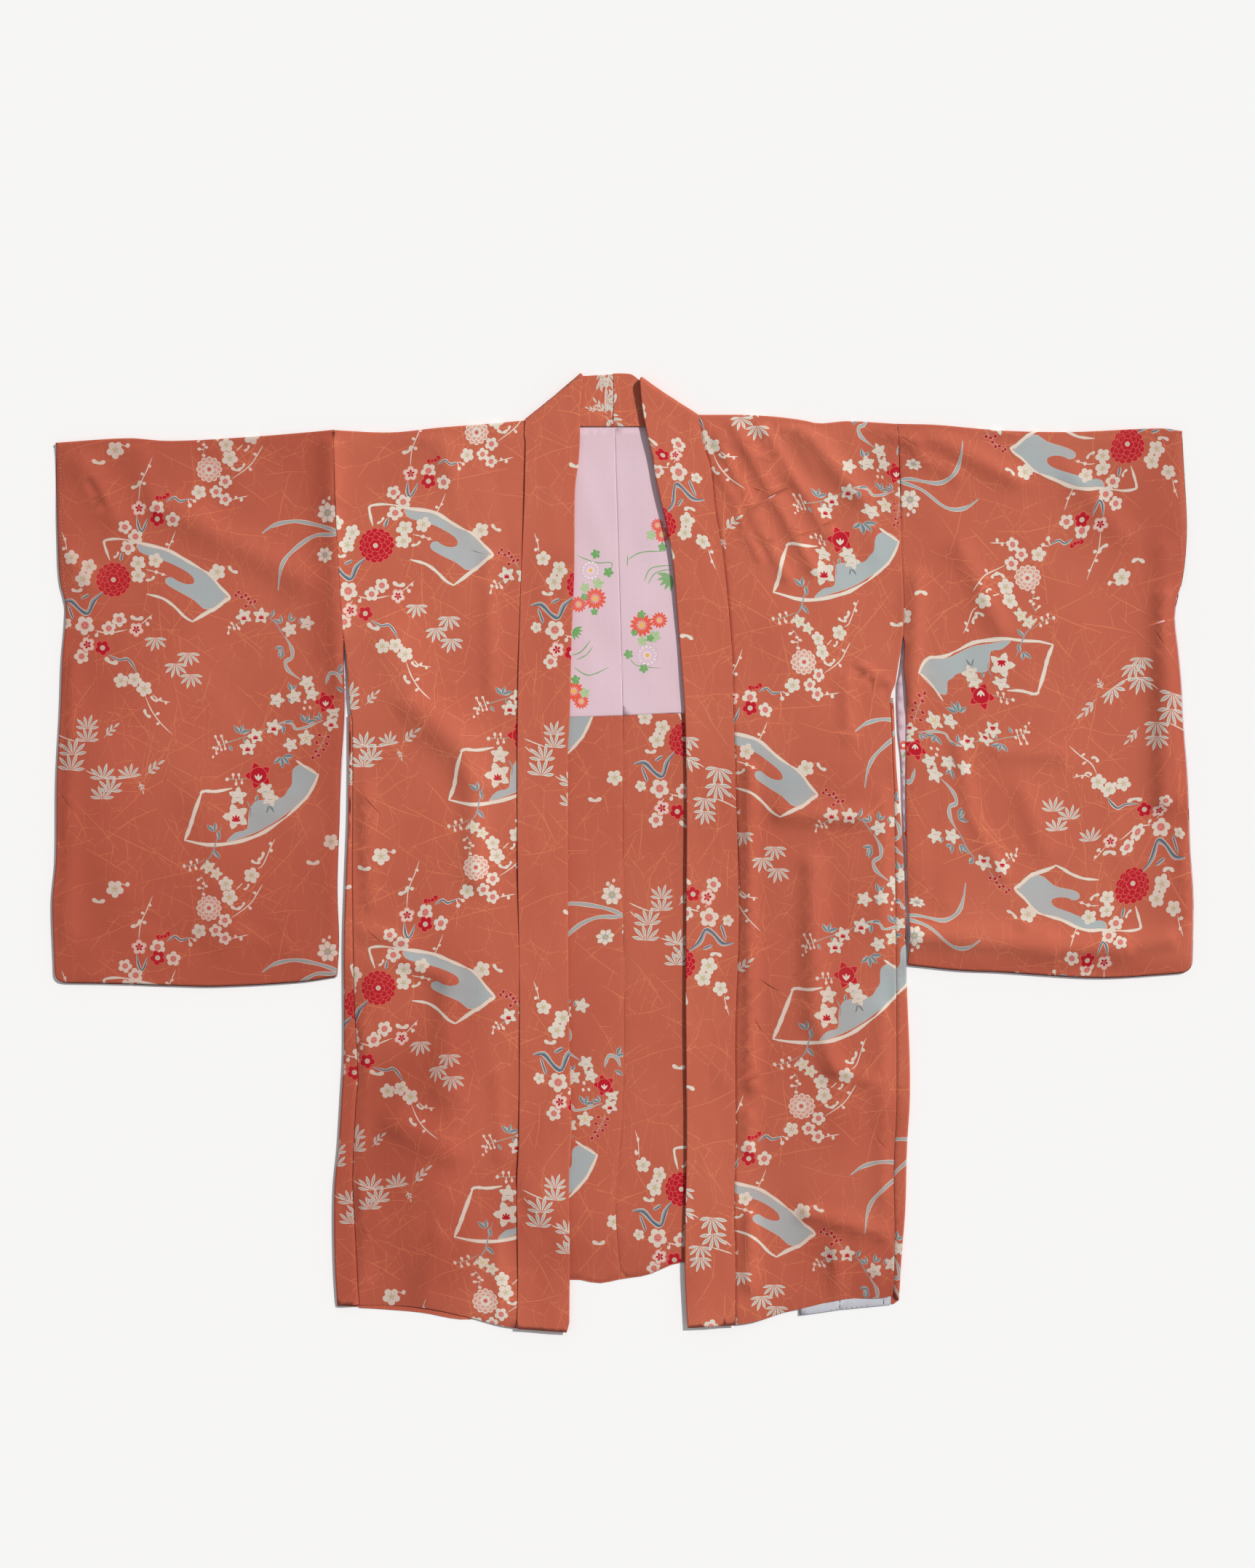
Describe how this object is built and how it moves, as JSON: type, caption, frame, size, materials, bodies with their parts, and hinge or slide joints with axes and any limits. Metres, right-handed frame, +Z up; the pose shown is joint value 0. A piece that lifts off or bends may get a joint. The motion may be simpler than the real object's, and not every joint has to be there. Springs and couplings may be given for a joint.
{
  "type": "haori jacket",
  "caption": "Lined haori jacket laid flat on its back: body lengths folded at the shoulder, deep sleeves, gussets and a band collar, open down the front.",
  "frame": {"origin": "on the surface that it lies on, under the middle of the laid garment's outline", "axes": "+X across the garment from cuff to cuff, +Y from the hem to the collar, +Z up from the surface"},
  "size_m": [1.2719, 1.0694, 0.0094],
  "materials": {
    "printed_silk": "matt silk crepe with a printed pattern of traditional flowers on warm orange",
    "lining_silk": "smooth pale pink silk with a soft sheen and a few printed flowers",
    "pale_cloth": "plain pale woven cloth"
  },
  "bodies": {
    "root": {"body_left": "printed_silk", "body_right": "printed_silk", "sleeve_left": "printed_silk", "sleeve_right": "printed_silk", "gusset_left": "printed_silk", "gusset_right": "printed_silk", "collar_left": "printed_silk", "collar_right": "printed_silk", "back_lining_left": "lining_silk", "back_lining_right": "lining_silk", "sleeve_lining_left": "lining_silk", "sleeve_lining_right": "lining_silk", "hem_band": "pale_cloth"}
  },
  "joints": []
}
